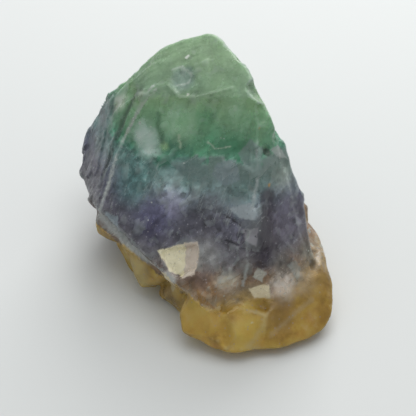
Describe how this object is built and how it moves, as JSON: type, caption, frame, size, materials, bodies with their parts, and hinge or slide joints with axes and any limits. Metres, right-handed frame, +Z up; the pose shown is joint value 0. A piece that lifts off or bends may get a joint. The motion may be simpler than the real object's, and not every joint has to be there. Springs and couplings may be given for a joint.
{
  "type": "rough fluorite octahedron",
  "caption": "Rough octahedron of colour-zoned fluorite, green over purple, grown on a honey-yellow crust and resting flat.",
  "frame": {"origin": "under the middle of the stone's bounding box, on the flat underside that it rests on", "axes": "+Z up from the underside towards the broken apex, -Y towards the viewer with the sharp edge between the two front faces, +X to the viewer's right"},
  "size_m": [0.0516, 0.0556, 0.0457],
  "materials": {
    "fluorite": "waxy, translucent, rough broken surface"
  },
  "bodies": {
    "root": {"fluorite_crystal": "fluorite"}
  },
  "joints": []
}
